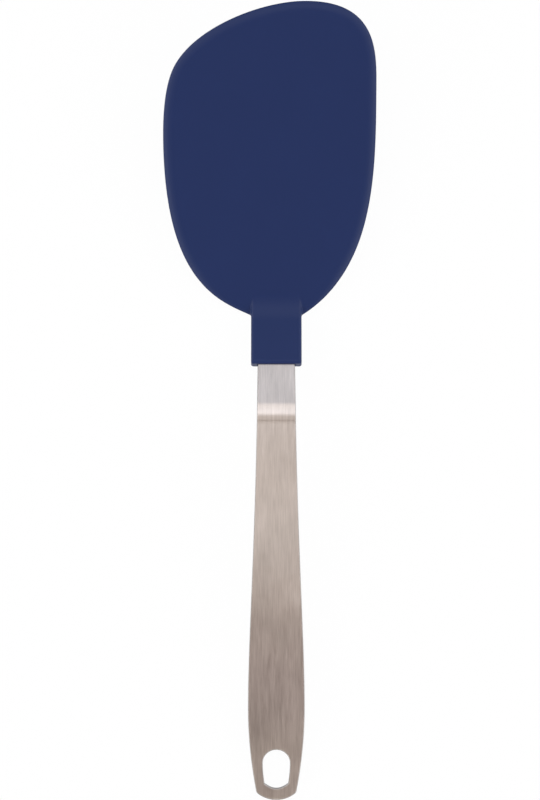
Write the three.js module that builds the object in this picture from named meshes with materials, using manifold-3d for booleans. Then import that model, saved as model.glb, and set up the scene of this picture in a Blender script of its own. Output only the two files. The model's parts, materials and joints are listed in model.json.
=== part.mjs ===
// Flexible turner: a silicone blade over a spring steel leaf, riveted to a cranked strip handle.
// Millimetres, +Z up. The turner lies on its heel and on the end of its handle, blade towards +Y.
import * as THREE from 'three';
import { mergeVertices } from 'three/addons/utils/BufferGeometryUtils.js';
import Module from 'manifold-3d';

// Blade: outline sizes measured from the root, where the outline leaves the socket
const BLADE_LENGTH = 132.3;
const BLADE_LEFT = 46.8;
const BLADE_RIGHT = 41.2;
const TIP_OFFSET = 12;
const BLADE_THICKNESS = 2.2;
const RIM_THICKNESS = 1.0;
const RIM_WIDTH = 5;
const ROOT_BEHIND_BEND = 3.7;

// Blade: where the sides are widest and how full the curves are, as shares of the spans they cross
const RIGHT_BELLY = 0.735;
const RIGHT_ROOT_ANGLE = 33;
const RIGHT_ROOT_FULLNESS = 1.2;
const RIGHT_SIDE_FULLNESS = 0.36;
const RIGHT_CORNER_RISE = 0.415;
const RIGHT_CORNER_RUN = 1.0;
const LEFT_BELLY = 0.574;
const LEFT_ROOT_ANGLE = 26.4;
const LEFT_ROOT_FULLNESS = 0.385;
const LEFT_SIDE_FULLNESS = 0.82;
const SHOULDER_OUT = 0.857;
const SHOULDER_UP = 0.819;
const SHOULDER_ANGLE = 55;
const SHOULDER_RISE = 0.7;
const SHOULDER_RUN = 0.1;
const SLANT_FULLNESS = 0.29;

// Spring leaf inside the silicone
const LEAF_THICKNESS = 0.5;
const LEAF_MARGIN = 7;
const LEAF_TAIL_WIDTH = 13;
const LEAF_BEND_RADIUS = 8;
const LEAF_GAP = 0.15;
const LOCK_HOLE_DIAMETER = 4;
const LOCK_HOLE_INSET = 6;
const LOCK_HOLE_PITCH = 27;

// Socket: the thick end of the moulding, which holds the strip
const SOCKET_WIDTH = 21.1;
const SOCKET_WALL = 1;
const SOCKET_EDGE_ROUND = 1.9;
const SOCKET_LIP_ROUND = 0.6;
const MOUTH_FROM_BEND = 25.5;
const NECK_ANGLE = 33;
const POCKET_GAP = 0.15;
const FLEX_GAP = 0.3;
const FLEX_SHELF = 0.4;

// Strip handle
const STRIP_THICKNESS = 2;
const STRIP_EDGE_ROUND = 0.4;
const TANG_LENGTH = 19.5;
const NECK_WIDTH = 15.5;
const CRANK_WIDTH = 15.9;
const CRANK_FROM_MOUTH = 16.4;
const CRANK_LENGTH = 7.3;
const CRANK_ANGLE = 19;
const GRIP_LENGTH = 159.4;
const GRIP_WIDTH = 23.6;
const GRIP_BELLY_FROM_END = 39;
const GRIP_ARCH_ANGLE = 8;
const END_FLAT_LENGTH = 28;
const END_WIDTH = 17;
const END_CORNER_FROM_END = 4.2;
const END_ARC_RADIUS = 12.4;
const END_CORNER_ROUND = 0.7;

// Hanging slot
const SLOT_WIDTH = 11.4;
const SLOT_LENGTH = 16.5;
const SLOT_FROM_END = 5;
const SLOT_FOOT_WIDTH = 9.9;
const SLOT_FOOT_RISE = 2.1;

// Rivets
const RIVET_DIAMETER = 3;
const RIVET_HEAD_DIAMETER = 5.6;
const RIVET_HEAD_HEIGHT = 0.5;
const RIVET_GAP = 0.1;
const FRONT_RIVET_FROM_MOUTH = 15.5;
const REAR_RIVET_FROM_MOUTH = 6.5;

// How finely curves are drawn
const OUTLINE_STEPS = 18;
const ROUND_STEPS = 24;

const radians = THREE.MathUtils.degToRad;
const point = (x, y) => new THREE.Vector2(x, y);

// Sizes that follow from those above
const neckAngle = radians(NECK_ANGLE);
const middle = BLADE_THICKNESS / 2;
const rootY = -ROOT_BEHIND_BEND;
const tipY = rootY + BLADE_LENGTH;
const rootHalf = SOCKET_WIDTH / 2;
const stripTop = -LEAF_THICKNESS / 2 - RIVET_GAP / 2;
const stripMiddle = stripTop - STRIP_THICKNESS / 2;
const stripBottom = stripTop - STRIP_THICKNESS;
const headTop = LEAF_THICKNESS / 2 + RIVET_GAP / 2 + RIVET_HEAD_HEIGHT;
const headBottom = stripBottom - RIVET_GAP / 2 - RIVET_HEAD_HEIGHT;
const socketTop = headTop + POCKET_GAP + SOCKET_WALL;
const socketBottom = headBottom - POCKET_GAP - SOCKET_WALL;
const tangFront = MOUTH_FROM_BEND - TANG_LENGTH;
const crankStart = MOUTH_FROM_BEND + CRANK_FROM_MOUTH;
const crankAngle = radians(CRANK_ANGLE);
const archAngle = radians(GRIP_ARCH_ANGLE);
const archStart = crankStart + CRANK_LENGTH;
const archLength = GRIP_LENGTH - END_FLAT_LENGTH;
const stripEnd = archStart + GRIP_LENGTH;
const crankRadius = CRANK_LENGTH / crankAngle;
const archRadius = archLength / archAngle;

// The socket's front slope runs out on the blade; the blade bends on a line just ahead of that
const slopeRun = (middle - socketTop * Math.cos(neckAngle)) / Math.sin(neckAngle);
const slopeFoot = socketTop * Math.sin(neckAngle) - slopeRun * Math.cos(neckAngle);
const socketFront = slopeFoot + FLEX_SHELF;
const flexY = socketFront + FLEX_GAP + middle;

// The heel is the edge where the undersides of socket and blade meet
const heelRun = (-middle - socketBottom * Math.cos(neckAngle)) / Math.sin(neckAngle);
const heelY = socketBottom * Math.sin(neckAngle) - heelRun * Math.cos(neckAngle);

// The neck starts at the leaf's bend and rises backwards
const neckMatrix = new THREE.Matrix4().makeTranslation(0, 0, middle)
  .multiply(new THREE.Matrix4().makeRotationX(-neckAngle));

const wasm = await Module();
wasm.setup();

// Solids from geometry and back
function solid(geometry) {
  const bare = new THREE.BufferGeometry();
  bare.setAttribute('position', geometry.getAttribute('position').clone());
  bare.setIndex(geometry.getIndex());
  const merged = mergeVertices(bare, 1e-4);
  const corners = merged.getIndex().array;
  const kept = [];
  for (let i = 0; i < corners.length; i += 3) {
    const [a, b, c] = [corners[i], corners[i + 1], corners[i + 2]];
    if (a !== b && b !== c && c !== a) {
      kept.push(a, b, c);
    }
  }
  const mesh = new wasm.Mesh({
    numProp: 3,
    vertProperties: new Float32Array(merged.getAttribute('position').array),
    triVerts: new Uint32Array(kept),
  });
  return new wasm.Manifold(mesh);
}

function geometryOf(body) {
  const mesh = body.getMesh();
  const geometry = new THREE.BufferGeometry();
  const places = [];
  for (let i = 0; i < mesh.vertProperties.length; i += mesh.numProp) {
    places.push(mesh.vertProperties[i], mesh.vertProperties[i + 1], mesh.vertProperties[i + 2]);
  }
  geometry.setAttribute('position', new THREE.Float32BufferAttribute(places, 3));
  geometry.setIndex(Array.from(mesh.triVerts));
  const sharp = geometry.toNonIndexed();
  sharp.computeVertexNormals();
  return sharp;
}

// A plan shape raised from one height to another
function prism(shape, from, to) {
  const geometry = new THREE.ExtrudeGeometry(shape, {
    depth: to - from,
    bevelEnabled: false,
    curveSegments: OUTLINE_STEPS,
  });
  geometry.translate(0, 0, from);
  return geometry;
}

// A side profile, drawn in y and z, spread across x
function acrossX(shape, halfWidth) {
  const geometry = prism(shape, -halfWidth, halfWidth);
  const turn = new THREE.Matrix4().makeBasis(
    new THREE.Vector3(0, 1, 0),
    new THREE.Vector3(0, 0, 1),
    new THREE.Vector3(1, 0, 0),
  );
  return geometry.applyMatrix4(turn);
}

function block(xFrom, xTo, yFrom, yTo, zFrom, zTo) {
  const geometry = new THREE.BoxGeometry(xTo - xFrom, yTo - yFrom, zTo - zFrom);
  geometry.translate((xFrom + xTo) / 2, (yFrom + yTo) / 2, (zFrom + zTo) / 2);
  return geometry;
}

function pin(x, y, radius, zFrom, zTo) {
  const geometry = new THREE.CylinderGeometry(radius, radius, zTo - zFrom, ROUND_STEPS);
  geometry.rotateX(Math.PI / 2);
  geometry.translate(x, y, (zFrom + zTo) / 2);
  return geometry;
}

function roundedRectangle(left, right, bottom, top, radius) {
  const shape = new THREE.Shape();
  shape.moveTo(left + radius, bottom);
  shape.lineTo(right - radius, bottom);
  shape.absarc(right - radius, bottom + radius, radius, -Math.PI / 2, 0);
  shape.lineTo(right, top - radius);
  shape.absarc(right - radius, top - radius, radius, 0, Math.PI / 2);
  shape.lineTo(left + radius, top);
  shape.absarc(left + radius, top - radius, radius, Math.PI / 2, Math.PI);
  shape.lineTo(left, bottom + radius);
  shape.absarc(left + radius, bottom + radius, radius, Math.PI, Math.PI * 1.5);
  return shape;
}

// Blade outline, drawn from the right of the root round the tip to the left of the root
function bladeOutline() {
  const root = point(rootHalf, rootY);
  const rightBelly = point(BLADE_RIGHT, rootY + RIGHT_BELLY * BLADE_LENGTH);
  const tip = point(TIP_OFFSET, tipY);
  const shoulder = point(-SHOULDER_OUT * BLADE_LEFT, rootY + SHOULDER_UP * BLADE_LENGTH);
  const leftBelly = point(-BLADE_LEFT, rootY + LEFT_BELLY * BLADE_LENGTH);
  const leftRoot = point(-rootHalf, rootY);

  const rightRootReach = RIGHT_ROOT_FULLNESS * (BLADE_RIGHT - rootHalf);
  const leftRootReach = LEFT_ROOT_FULLNESS * (BLADE_LEFT - rootHalf);
  const shoulderSpan = shoulder.distanceTo(leftBelly);
  const slantSpan = tip.distanceTo(shoulder);
  const slope = point(Math.cos(radians(SHOULDER_ANGLE)), Math.sin(radians(SHOULDER_ANGLE)));
  const slantReach = SLANT_FULLNESS * slantSpan;

  const outline = new THREE.Shape();
  outline.moveTo(root.x, root.y);
  outline.bezierCurveTo(
    root.x + rightRootReach * Math.cos(radians(RIGHT_ROOT_ANGLE)),
    root.y + rightRootReach * Math.sin(radians(RIGHT_ROOT_ANGLE)),
    rightBelly.x, rightBelly.y - RIGHT_SIDE_FULLNESS * (rightBelly.y - root.y),
    rightBelly.x, rightBelly.y,
  );
  outline.bezierCurveTo(
    rightBelly.x, rightBelly.y + RIGHT_CORNER_RISE * (tip.y - rightBelly.y),
    tip.x + RIGHT_CORNER_RUN * (rightBelly.x - tip.x), tip.y,
    tip.x, tip.y,
  );
  outline.bezierCurveTo(
    tip.x - slantReach, tip.y,
    shoulder.x + slantReach * slope.x, shoulder.y + slantReach * slope.y,
    shoulder.x, shoulder.y,
  );
  outline.bezierCurveTo(
    shoulder.x - SHOULDER_RUN * shoulderSpan * slope.x, shoulder.y - SHOULDER_RUN * shoulderSpan * slope.y,
    leftBelly.x, leftBelly.y + SHOULDER_RISE * shoulderSpan,
    leftBelly.x, leftBelly.y,
  );
  outline.bezierCurveTo(
    leftBelly.x, leftBelly.y - LEFT_SIDE_FULLNESS * (leftBelly.y - leftRoot.y),
    leftRoot.x - leftRootReach * Math.cos(radians(LEFT_ROOT_ANGLE)),
    leftRoot.y + leftRootReach * Math.sin(radians(LEFT_ROOT_ANGLE)),
    leftRoot.x, leftRoot.y,
  );
  return outline;
}

// Points at equal steps along the blade outline, moved inwards by a distance
function insetOutline(distance, steps) {
  const places = bladeOutline().getSpacedPoints(steps);
  return places.map((place, i) => {
    const before = places[Math.max(i - 1, 0)];
    const after = places[Math.min(i + 1, steps)];
    const along = after.clone().sub(before).normalize();
    return point(place.x - along.y * distance, place.y + along.x * distance);
  });
}

// The full silicone plate with its thinned rim
function platePiece() {
  const taper = (BLADE_THICKNESS - RIM_THICKNESS) / 2;
  const geometry = new THREE.ExtrudeGeometry(bladeOutline(), {
    depth: RIM_THICKNESS,
    bevelThickness: taper,
    bevelSize: RIM_WIDTH,
    bevelOffset: -RIM_WIDTH,
    bevelSegments: 3,
    curveSegments: OUTLINE_STEPS,
  });
  geometry.translate(0, 0, taper);
  return solid(geometry);
}

// Side profile of the leaf: tail along the neck, bend, then flat along the blade
function leafProfile(gap) {
  const half = LEAF_THICKNESS / 2 + gap;
  const bendReach = LEAF_BEND_RADIUS * Math.tan(neckAngle / 2);
  const tailEnd = MOUTH_FROM_BEND - SOCKET_LIP_ROUND * 2 + gap;
  const centre = point(bendReach, middle + LEAF_BEND_RADIUS);
  const offset = (up) => {
    const places = [];
    const backY = -tailEnd * Math.cos(neckAngle) + up * Math.sin(neckAngle);
    const backZ = middle + tailEnd * Math.sin(neckAngle) + up * Math.cos(neckAngle);
    places.push(point(backY, backZ));
    for (let i = 0; i <= ROUND_STEPS / 2; i += 1) {
      const turn = neckAngle * (1 - i / (ROUND_STEPS / 2));
      const reach = LEAF_BEND_RADIUS - up;
      places.push(point(centre.x - reach * Math.sin(turn), centre.y - reach * Math.cos(turn)));
    }
    places.push(point(tipY, middle + up));
    return places;
  };
  return new THREE.Shape([...offset(-half), ...offset(half).reverse()]);
}

// The leaf, or the room left for it in the silicone when a gap is given
function leafBody(gap) {
  const high = crankStart;
  const steps = OUTLINE_STEPS * 5;
  const plan = new THREE.Shape(insetOutline(LEAF_MARGIN - gap, steps));
  const tailHalf = LEAF_TAIL_WIDTH / 2 + gap;
  const tail = block(-tailHalf, tailHalf, -crankStart, flexY + LEAF_MARGIN, -high, high);
  const sheet = solid(acrossX(leafProfile(gap), BLADE_LEFT + BLADE_RIGHT));
  let leaf = sheet.intersect(solid(prism(plan, -high, high)).add(solid(tail)));
  for (const hole of lockHoles()) {
    leaf = leaf.subtract(solid(pin(hole.x, hole.y, LOCK_HOLE_DIAMETER / 2 - gap, -high, high)));
  }
  return leaf;
}

// Lock holes follow the outline at an even pitch, clear of the root
function lockHoles() {
  const inset = LEAF_MARGIN + LOCK_HOLE_INSET;
  const pitches = Math.floor(bladeOutline().getLength() / LOCK_HOLE_PITCH);
  return insetOutline(inset, pitches).slice(1, pitches);
}

// A rivet standing on the neck, or the room left for it when a gap is given
function rivetGeometry(fromMouth, gap) {
  const shank = RIVET_DIAMETER / 2 + gap;
  const head = RIVET_HEAD_DIAMETER / 2 + gap;
  const soft = RIVET_HEAD_HEIGHT / 2;
  const under = stripBottom - RIVET_GAP / 2;
  const over = LEAF_THICKNESS / 2 + RIVET_GAP / 2;
  const profile = [
    point(0, headBottom - gap),
    point(head - soft, headBottom - gap),
    point(head, headBottom + soft - gap),
    point(head, under),
    point(shank, under),
    point(shank, over),
    point(head, over),
    point(head, headTop - soft + gap),
    point(head - soft, headTop + gap),
    point(0, headTop + gap),
  ];
  const geometry = new THREE.LatheGeometry(profile, ROUND_STEPS);
  geometry.rotateX(Math.PI / 2);
  geometry.translate(0, fromMouth - MOUTH_FROM_BEND, 0);
  return geometry.applyMatrix4(neckMatrix);
}

// Holes for the rivet shanks, through tang and leaf
function rivetHole(fromMouth) {
  const radius = RIVET_DIAMETER / 2 + RIVET_GAP;
  const geometry = pin(0, fromMouth - MOUTH_FROM_BEND, radius, socketBottom, socketTop);
  return solid(geometry.applyMatrix4(neckMatrix));
}

// Middle line of the strip at a length from the leaf's bend, in the neck's own directions
function stripAt(length) {
  if (length <= crankStart) {
    return { y: -length, z: stripMiddle, angle: 0 };
  }
  if (length <= archStart) {
    const angle = (length - crankStart) / crankRadius;
    const y = -crankStart - crankRadius * Math.sin(angle);
    return { y, z: stripMiddle - crankRadius * (1 - Math.cos(angle)), angle };
  }
  const start = stripAt(archStart);
  const turned = Math.min(length - archStart, archLength) / archRadius;
  const angle = start.angle + turned;
  const flat = Math.max(length - archStart - archLength, 0);
  const y = start.y - archRadius * (Math.sin(angle) - Math.sin(start.angle)) - flat * Math.cos(angle);
  const z = start.z - archRadius * (Math.cos(start.angle) - Math.cos(angle)) - flat * Math.sin(angle);
  return { y, z, angle };
}

// Half widths along the strip, each with its length from the leaf's bend
function stripStations() {
  const stations = [];
  const add = (length, half) => stations.push({ length, half });
  add(tangFront, NECK_WIDTH / 2);
  add(MOUTH_FROM_BEND, NECK_WIDTH / 2);
  for (let i = 0; i < 9; i += 1) {
    const length = crankStart + CRANK_LENGTH * (i / 9);
    const share = (length - MOUTH_FROM_BEND) / (archStart - MOUTH_FROM_BEND);
    add(length, THREE.MathUtils.lerp(NECK_WIDTH, CRANK_WIDTH, share) / 2);
  }

  // Outline of the grip as distance from the end against half width
  const gripHalf = GRIP_WIDTH / 2;
  const crankHalf = CRANK_WIDTH / 2;
  const endHalf = END_WIDTH / 2;
  const belly = GRIP_BELLY_FROM_END;
  const swellSpan = GRIP_LENGTH - belly;
  const taperSpan = belly - END_CORNER_FROM_END;
  const swell = new THREE.CubicBezierCurve(
    point(GRIP_LENGTH, crankHalf),
    point(GRIP_LENGTH - 0.5 * swellSpan, crankHalf + 0.31 * (gripHalf - crankHalf)),
    point(belly + 0.25 * swellSpan, gripHalf),
    point(belly, gripHalf),
  );
  const taper = new THREE.CubicBezierCurve(
    point(belly, gripHalf),
    point(belly - 0.345 * taperSpan, gripHalf),
    point(END_CORNER_FROM_END + 0.316 * taperSpan, endHalf + 0.617 * (gripHalf - endHalf)),
    point(END_CORNER_FROM_END, endHalf),
  );
  const arcStart = Math.asin((endHalf - END_CORNER_ROUND) / END_ARC_RADIUS);
  const arcFrom = END_ARC_RADIUS * (1 - Math.cos(arcStart));
  const corner = new THREE.QuadraticBezierCurve(
    point(END_CORNER_FROM_END, endHalf),
    point(arcFrom + 0.8 * END_CORNER_ROUND * Math.tan(arcStart), endHalf - 0.2 * END_CORNER_ROUND),
    point(arcFrom, endHalf - END_CORNER_ROUND),
  );
  const outline = [...swell.getPoints(22), ...taper.getPoints(12).slice(1), ...corner.getPoints(4).slice(1)];
  const arcSteps = 9;
  for (let i = 1; i <= arcSteps; i += 1) {
    const turn = arcStart * (1 - (0.92 * i) / arcSteps);
    outline.push(point(END_ARC_RADIUS * (1 - Math.cos(turn)), END_ARC_RADIUS * Math.sin(turn)));
  }
  for (const place of outline) {
    add(stripEnd - place.x, place.y);
  }
  return stations;
}

// Rings of equal point counts joined into one closed skin
function skin(rings) {
  const count = rings[0].length;
  const places = [];
  const corners = [];
  for (const ring of rings) {
    for (const place of ring) {
      places.push(place.x, place.y, place.z);
    }
  }
  for (let r = 0; r + 1 < rings.length; r += 1) {
    for (let i = 0; i < count; i += 1) {
      const a = r * count + i;
      const b = r * count + ((i + 1) % count);
      corners.push(a, b, a + count, b, b + count, a + count);
    }
  }
  const last = (rings.length - 1) * count;
  for (let i = 1; i + 1 < count; i += 1) {
    corners.push(0, i + 1, i);
    corners.push(last, last + i, last + i + 1);
  }
  const geometry = new THREE.BufferGeometry();
  geometry.setAttribute('position', new THREE.Float32BufferAttribute(places, 3));
  geometry.setIndex(corners);
  return geometry;
}

// The strip as rings of one rounded section along its middle line
function stripGeometry() {
  const half = STRIP_THICKNESS / 2;
  const rings = stripStations().map(({ length, half: wide }) => {
    const { y, z, angle } = stripAt(length);
    const section = roundedRectangle(-wide, wide, -half, half, STRIP_EDGE_ROUND).extractPoints(3).shape;
    return section.map((place) => new THREE.Vector3(
      place.x,
      y - place.y * Math.sin(angle),
      z + place.y * Math.cos(angle),
    ));
  });
  return skin(rings);
}

// Hanging slot: round above, narrower foot with a shallow arc below
function slotGeometry() {
  const half = SLOT_WIDTH / 2;
  const foot = SLOT_FOOT_WIDTH / 2;
  const footY = SLOT_FROM_END + SLOT_FOOT_RISE;
  const roundY = SLOT_FROM_END + SLOT_LENGTH - half;
  const shape = new THREE.Shape();
  shape.moveTo(-foot, footY);
  shape.quadraticCurveTo(0, SLOT_FROM_END - SLOT_FOOT_RISE, foot, footY);
  shape.quadraticCurveTo(half, (footY + roundY) / 2, half, roundY);
  shape.absarc(0, roundY, half, 0, Math.PI);
  shape.quadraticCurveTo(-half, (footY + roundY) / 2, -foot, footY);
  const { y, z, angle } = stripAt(stripEnd);
  const place = new THREE.Matrix4().makeTranslation(0, y, z)
    .multiply(new THREE.Matrix4().makeRotationX(angle));
  return prism(shape, -STRIP_THICKNESS * 2, STRIP_THICKNESS * 2).applyMatrix4(place);
}

function handleBody() {
  const strip = solid(stripGeometry()).subtract(solid(slotGeometry()));
  const placed = solid(geometryOf(strip).applyMatrix4(neckMatrix));
  return placed.subtract(rivetHole(FRONT_RIVET_FROM_MOUTH)).subtract(rivetHole(REAR_RIVET_FROM_MOUTH));
}

// The blade ends at the flex line in a half round, so that it can turn against the socket
function bladeBody() {
  const wide = BLADE_LEFT + BLADE_RIGHT;
  const ahead = solid(block(-wide, wide, flexY, tipY + RIM_WIDTH, -middle, BLADE_THICKNESS + middle));
  const knuckle = new THREE.CylinderGeometry(middle, middle, wide * 2, ROUND_STEPS);
  knuckle.rotateZ(Math.PI / 2);
  knuckle.translate(0, flexY, middle);
  return platePiece().intersect(ahead.add(solid(knuckle))).subtract(leafBody(LEAF_GAP));
}

// The socket: a rounded bar along the neck, grown out of the root of the plate
function socketBody() {
  const ahead = ROOT_BEHIND_BEND + FLEX_SHELF;
  const section = roundedRectangle(-rootHalf, rootHalf, socketBottom, socketTop, SOCKET_EDGE_ROUND);
  const bar = new THREE.ExtrudeGeometry(section, {
    depth: MOUTH_FROM_BEND + ahead - 2 * SOCKET_LIP_ROUND,
    bevelThickness: SOCKET_LIP_ROUND,
    bevelSize: SOCKET_LIP_ROUND,
    bevelOffset: -SOCKET_LIP_ROUND,
    bevelSegments: 2,
    curveSegments: 5,
  });
  bar.rotateX(Math.PI / 2);
  bar.translate(0, ahead - SOCKET_LIP_ROUND, 0);
  bar.applyMatrix4(neckMatrix);

  const wide = BLADE_LEFT + BLADE_RIGHT;
  const behind = solid(block(-wide, wide, -stripEnd, socketFront, 0, crankStart));
  const tangHalf = NECK_WIDTH / 2 + POCKET_GAP;
  const tang = block(-tangHalf, tangHalf, -crankStart, POCKET_GAP - tangFront,
    stripBottom - POCKET_GAP, stripTop + POCKET_GAP);
  tang.applyMatrix4(neckMatrix);
  let socket = platePiece().add(solid(bar)).intersect(behind);
  socket = socket.subtract(solid(tang)).subtract(leafBody(LEAF_GAP));
  for (const fromMouth of [FRONT_RIVET_FROM_MOUTH, REAR_RIVET_FROM_MOUTH]) {
    socket = socket.subtract(solid(rivetGeometry(fromMouth, POCKET_GAP)));
  }
  return socket;
}

function leafPiece() {
  return leafBody(0)
    .subtract(rivetHole(FRONT_RIVET_FROM_MOUTH))
    .subtract(rivetHole(REAR_RIVET_FROM_MOUTH));
}

// Rest: heel and handle end both touch the worktop
const endPlace = stripAt(stripEnd);
const endUnder = new THREE.Vector3(
  0,
  endPlace.y + (STRIP_THICKNESS / 2) * Math.sin(endPlace.angle),
  endPlace.z - (STRIP_THICKNESS / 2) * Math.cos(endPlace.angle),
).applyMatrix4(neckMatrix);
const restTilt = Math.atan2(endUnder.z, heelY - endUnder.y);

const steel = { color: 0xb9aea6, metalness: 1, roughness: 0.38 };
const spring = { color: 0x9a9a9c, metalness: 1, roughness: 0.45 };
const silicone = { color: 0x2a345d, metalness: 0, roughness: 0.55 };

const turner = new THREE.Group();
turner.name = 'flexible_turner';

function addPiece(name, geometry, look) {
  const mesh = new THREE.Mesh(geometry, new THREE.MeshStandardMaterial(look));
  mesh.name = name;
  turner.add(mesh);
}

addPiece('handle', geometryOf(handleBody()), steel);
addPiece('socket', geometryOf(socketBody()), silicone);
addPiece('blade', geometryOf(bladeBody()), silicone);
addPiece('blade_core', geometryOf(leafPiece()), spring);
addPiece('rivet_front', rivetGeometry(FRONT_RIVET_FROM_MOUTH, 0), spring);
addPiece('rivet_rear', rivetGeometry(REAR_RIVET_FROM_MOUTH, 0), spring);

// Tilt every piece to the rest position, then set the origin under the middle of the whole
const tilt = new THREE.Matrix4().makeRotationX(restTilt);
for (const mesh of turner.children) {
  mesh.geometry.applyMatrix4(tilt);
}
const bounds = new THREE.Box3().setFromObject(turner);
const centre = bounds.getCenter(new THREE.Vector3());
for (const mesh of turner.children) {
  mesh.geometry.translate(-centre.x, -centre.y, -bounds.min.z);
}

export default turner;
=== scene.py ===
# %% [markdown]
# # A flexible turner
#
# The real object is a kitchen turner: a wide navy silicone blade on a strip of brushed stainless
# steel. The strip is cranked at the neck, arched along the grip and has a slot to hang it by.
#
# The CAD model is the fixed frame here. It says where each piece lies
# and how the blade flexes, so nothing has to be fitted by eye. What Blender adds is the surface:
# soft moulded edges, brushing in the steel, and the light of a small studio.

# %% Load the frame
import json
import math

import bmesh
import bpy
import numpy as np
from mathutils import Matrix, Vector


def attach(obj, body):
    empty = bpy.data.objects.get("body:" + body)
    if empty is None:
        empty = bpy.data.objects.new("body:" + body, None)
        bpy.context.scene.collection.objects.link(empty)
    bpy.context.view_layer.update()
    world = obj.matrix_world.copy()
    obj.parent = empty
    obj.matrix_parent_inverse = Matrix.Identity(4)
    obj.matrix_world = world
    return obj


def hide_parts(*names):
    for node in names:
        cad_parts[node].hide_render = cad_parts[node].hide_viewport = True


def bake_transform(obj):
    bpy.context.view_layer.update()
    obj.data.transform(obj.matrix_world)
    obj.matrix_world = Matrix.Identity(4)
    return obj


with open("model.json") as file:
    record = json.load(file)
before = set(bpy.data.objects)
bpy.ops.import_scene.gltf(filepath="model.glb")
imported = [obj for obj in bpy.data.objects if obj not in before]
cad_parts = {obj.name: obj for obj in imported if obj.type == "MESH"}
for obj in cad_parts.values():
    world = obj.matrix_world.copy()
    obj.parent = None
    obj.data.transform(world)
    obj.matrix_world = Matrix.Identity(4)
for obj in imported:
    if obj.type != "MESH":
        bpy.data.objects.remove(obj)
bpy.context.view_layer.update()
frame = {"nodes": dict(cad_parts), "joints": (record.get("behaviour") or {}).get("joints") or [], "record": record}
scene = bpy.context.scene
scene.view_settings.view_transform = "Standard"
MM = 0.001

# %% [markdown]
# ## Two places to build in
#
# The blade lies tilted and the neck leaves it at an angle. A shape is easier to write down where
# it is flat, so the blade is built in a frame of its own with z up from its underside, and the
# strip in a second one, along the neck. Both are matrices in millimetres, worked out from the
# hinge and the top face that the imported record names, so they follow the CAD model.

# %% Where the blade and the neck lie
BLADE_THICKNESS = 2.2
FLEX_LINE = 3.6865
NECK_ANGLE = math.radians(33)
blade_middle = BLADE_THICKNESS / 2

flex = frame["joints"][0]
flex_point = Vector(flex["pos_m"])
mounts = {mount["name"]: mount for mount in frame["record"]["mounts"]}
blade_up = Vector(mounts["blade_top"]["axis"])
blade_tilt = math.atan2(-blade_up.y, blade_up.z)
blade_place = (
    Matrix.Translation(flex_point) @ Matrix.Rotation(blade_tilt, 4, "X")
    @ Matrix.Scale(MM, 4) @ Matrix.Translation((0, -FLEX_LINE, -blade_middle))
)
neck_place = (
    blade_place @ Matrix.Translation((0, 0, blade_middle))
    @ Matrix.Rotation(-NECK_ANGLE, 4, "X")
)
print("blade tilt", round(math.degrees(blade_tilt), 2), "degrees")

# %% [markdown]
# ## The camera
#
# The turner is seen from straight above. A long lens from far away keeps the near blade tip and
# the handle end at almost the same scale. The lens is worked out from the picture's height and
# the length it has to show on the worktop.

# %% The camera, straight above
CAMERA_HEIGHT = 1.5
CAMERA_OVER = (0.00016, 0.00189)
VIEW_LENGTH = 0.3348

camera_data = bpy.data.cameras.new("camera")
camera_data.sensor_width = 36
camera_data.lens = camera_data.sensor_width * CAMERA_HEIGHT / VIEW_LENGTH
camera = bpy.data.objects.new("camera", camera_data)
camera.location = (*CAMERA_OVER, CAMERA_HEIGHT)
scene.collection.objects.link(camera)
scene.camera = camera
print("lens", round(camera_data.lens, 1), "mm")

# %% [markdown]
# ## Small helpers for node trees
#
# Materials and Geometry Nodes are both trees of nodes. Three helpers keep them readable: one adds
# a node and feeds its inputs, one does a step of arithmetic, and one starts a reusable group with
# named inputs and outputs.

# %% Helpers for node trees
def add(tree, kind, inputs=None, **settings):
    """A new node with its settings, each named input linked or given a value."""
    node = tree.nodes.new(kind)
    for name, value in settings.items():
        setattr(node, name, value)
    for name, value in (inputs or {}).items():
        if isinstance(value, bpy.types.NodeSocket):
            tree.links.new(value, node.inputs[name])
        else:
            node.inputs[name].default_value = value
    return node


def calc(tree, operation, *terms):
    """The outcome of one step of arithmetic."""
    return add(tree, "ShaderNodeMath", dict(enumerate(terms)), operation=operation).outputs[0]


def group(kind, name, takes, gives):
    """A node group with named inputs (socket type, value) and outputs (socket type)."""
    tree = bpy.data.node_groups.new(name, kind)
    for socket, (socket_type, value) in takes.items():
        made = tree.interface.new_socket(socket, in_out="INPUT", socket_type=socket_type)
        if value is not None:
            made.default_value = value
    for socket, socket_type in gives.items():
        tree.interface.new_socket(socket, in_out="OUTPUT", socket_type=socket_type)
    return tree, add(tree, "NodeGroupInput").outputs, add(tree, "NodeGroupOutput").inputs


FLOAT, VECTOR, GEOMETRY = "NodeSocketFloat", "NodeSocketVector", "NodeSocketGeometry"
print("helpers ready")

# %% [markdown]
# ## Brushing, shared by both steels
#
# Stainless steel strip is brushed with an abrasive belt that runs along it. That leaves fine lines
# of many lengths and, between them, faint clouds where the belt pressed harder. An image of such a
# surface would have to be stretched to fit. Noise that is squeezed across the strip and drawn out
# along it gives lines of any fineness, so the effect is one group that both steels use. Its seed
# picks one run of clouds among many.

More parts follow.
